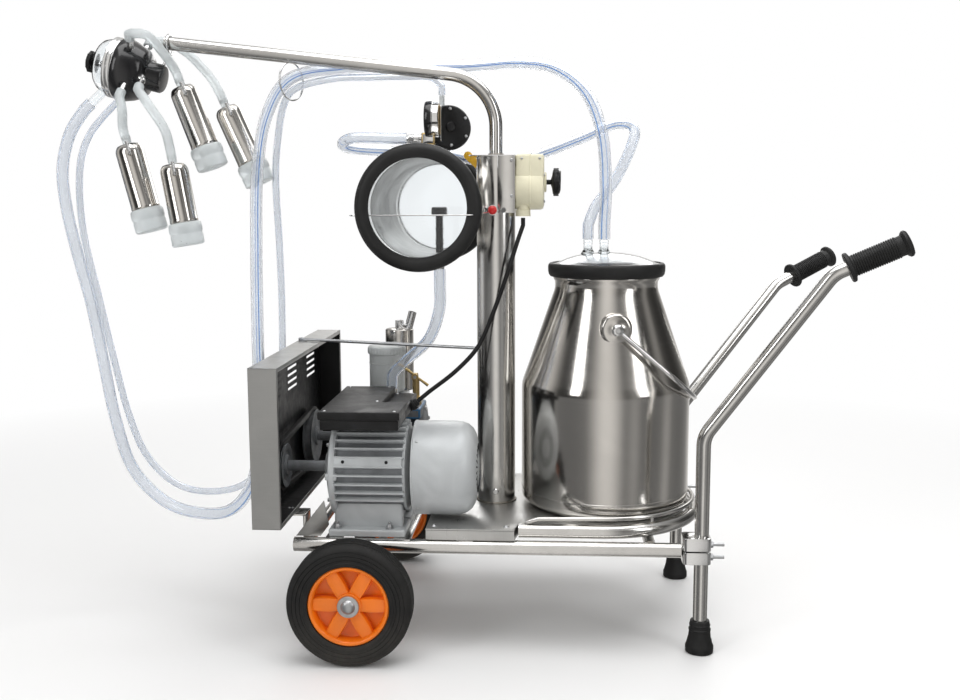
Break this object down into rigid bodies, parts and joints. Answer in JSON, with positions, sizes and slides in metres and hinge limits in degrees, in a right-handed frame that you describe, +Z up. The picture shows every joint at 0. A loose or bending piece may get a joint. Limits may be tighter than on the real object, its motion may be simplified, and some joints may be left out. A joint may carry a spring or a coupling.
{
  "type": "milking machine",
  "caption": "Wheeled trolley milking machine: electric vacuum pump, balance tank, steel bucket, and a claw with teat cups hung on an arm.",
  "frame": {"origin": "on the ground, under the middle of the machine's box without its hoses and cable", "axes": "+X from the claw end towards the push handles, +Y away from the motor side, +Z up"},
  "size_m": [1.5283, 0.6536, 1.0819],
  "materials": {
    "steel": "polished stainless steel",
    "brushed": "brushed stainless sheet",
    "zinc": "zinc plated",
    "tyre": "matte solid rubber",
    "orange": "bright orange moulded plastic",
    "black": "black moulded plastic",
    "rubber": "black rubber",
    "grey_paint": "silver-grey paint on a casting",
    "cream": "cream moulded plastic",
    "amber": "amber-dipped lever",
    "clear": "clear polycarbonate",
    "silicone": "translucent white silicone",
    "hose": "clear blue-striped hose",
    "milky": "milky polythene",
    "brass": "satin brass",
    "blue": "blue-grey paint on a casting"
  },
  "bodies": {
    "chassis": {"frame_weldment": "steel", "deck_plate": "brushed", "bucket_guard_tube": "steel", "handle_near": "steel", "handle_far": "steel", "clamp_near": "zinc", "clamp_far": "zinc", "foot_near": "rubber", "foot_far": "rubber", "grip_near": "rubber", "grip_far": "rubber", "post": "steel", "arm": "steel", "switch_box": "cream", "vacuum_valve": "zinc", "tank_shell": "steel", "tank_seal_near": "rubber", "tank_seal_far": "rubber", "tank_window_near": "clear", "tank_window_far": "clear", "gauge_case": "brushed", "pulsator": "black", "belt_guard": "brushed", "stay_rod": "steel", "motor_body": "grey_paint", "motor_cowl": "grey_paint", "terminal_box": "black", "pump_body": "blue", "drive_belt": "rubber", "oil_jar": "milky", "bucket": "steel", "claw_body": "black", "claw_bowl": "clear", "cup_shell_1": "steel", "cup_shell_2": "steel", "cup_shell_3": "steel", "cup_shell_4": "steel", "liner_1": "silicone", "liner_2": "silicone", "liner_3": "silicone", "liner_4": "silicone", "milk_hose": "hose", "pulse_hose": "hose", "vacuum_hose": "hose", "pump_hose": "hose", "motor_cable": "black"},
    "wheel_near": {"tyre_near": "tyre", "rim_near": "orange"},
    "wheel_far": {"tyre_far": "tyre", "rim_far": "orange"},
    "motor_spin": {"motor_rotor": "zinc"},
    "pump_spin": {"pump_rotor": "zinc"},
    "lid": {"bucket_lid": "clear", "lid_gasket": "rubber"},
    "bail": {"bail": "steel"},
    "valve_lever": {"valve_lever": "amber"},
    "drip_lever": {"drip_lever": "brass"},
    "switch_knob": {"switch_knob": "black"},
    "claw_knob": {"claw_knob": "black"},
    "gauge_needle": {"gauge_needle": "black"}
  },
  "joints": [
    {"name": "wheel_near_spin", "type": "hinge", "parent": "chassis", "child": "wheel_near", "pos_m": [-0.2034, -0.2988, 0.106], "axis": [0, 1, 0], "continuous": true},
    {"name": "wheel_far_spin", "type": "hinge", "parent": "chassis", "child": "wheel_far", "pos_m": [-0.2034, 0.2432, 0.106], "axis": [0, 1, 0], "continuous": true},
    {"name": "motor_shaft", "type": "hinge", "parent": "chassis", "child": "motor_spin", "pos_m": [-0.3544, -0.1378, 0.3], "axis": [1, 0, 0], "continuous": true},
    {"name": "pump_shaft", "type": "hinge", "parent": "chassis", "child": "pump_spin", "pos_m": [-0.3544, 0.1122, 0.3], "axis": [1, 0, 0], "continuous": true},
    {"name": "lid_lift", "type": "slide", "parent": "chassis", "child": "lid", "axis": [0, 0, 1], "range_m": [0, 0.12], "deforming": ["milk_hose", "vacuum_hose"]},
    {"name": "bail_swing", "type": "hinge", "parent": "chassis", "child": "bail", "pos_m": [0.2316, -0.0278, 0.551], "axis": [0.108, -0.9942, 0], "range_deg": [0, 100]},
    {"name": "valve_turn", "type": "hinge", "parent": "chassis", "child": "valve_lever", "pos_m": [0.0006, 0.0389, 0.832], "axis": [0, 1, 0], "range_deg": [0, 90]},
    {"name": "drip_turn", "type": "hinge", "parent": "chassis", "child": "drip_lever", "pos_m": [-0.1374, 0.0697, 0.43], "axis": [0, 1, 0], "range_deg": [0, 90]},
    {"name": "switch_turn", "type": "hinge", "parent": "chassis", "child": "switch_knob", "pos_m": [0.1171, -0.0258, 0.808], "axis": [1, 0, 0], "range_deg": [0, 90]},
    {"name": "claw_valve", "type": "slide", "parent": "chassis", "child": "claw_knob", "axis": [-0.9707, 0, 0.2402], "range_m": [0, 0.008]},
    {"name": "gauge_turn", "type": "hinge", "parent": "chassis", "child": "gauge_needle", "pos_m": [-0.0899, -0.0278, 0.922], "axis": [1, 0, 0], "range_deg": [-135, 135], "stiffness_Nm_per_rad": 0.0005}
  ],
  "couplings": [
    {"joint": "pump_shaft", "follows": "motor_shaft", "ratio": 0.7464}
  ]
}
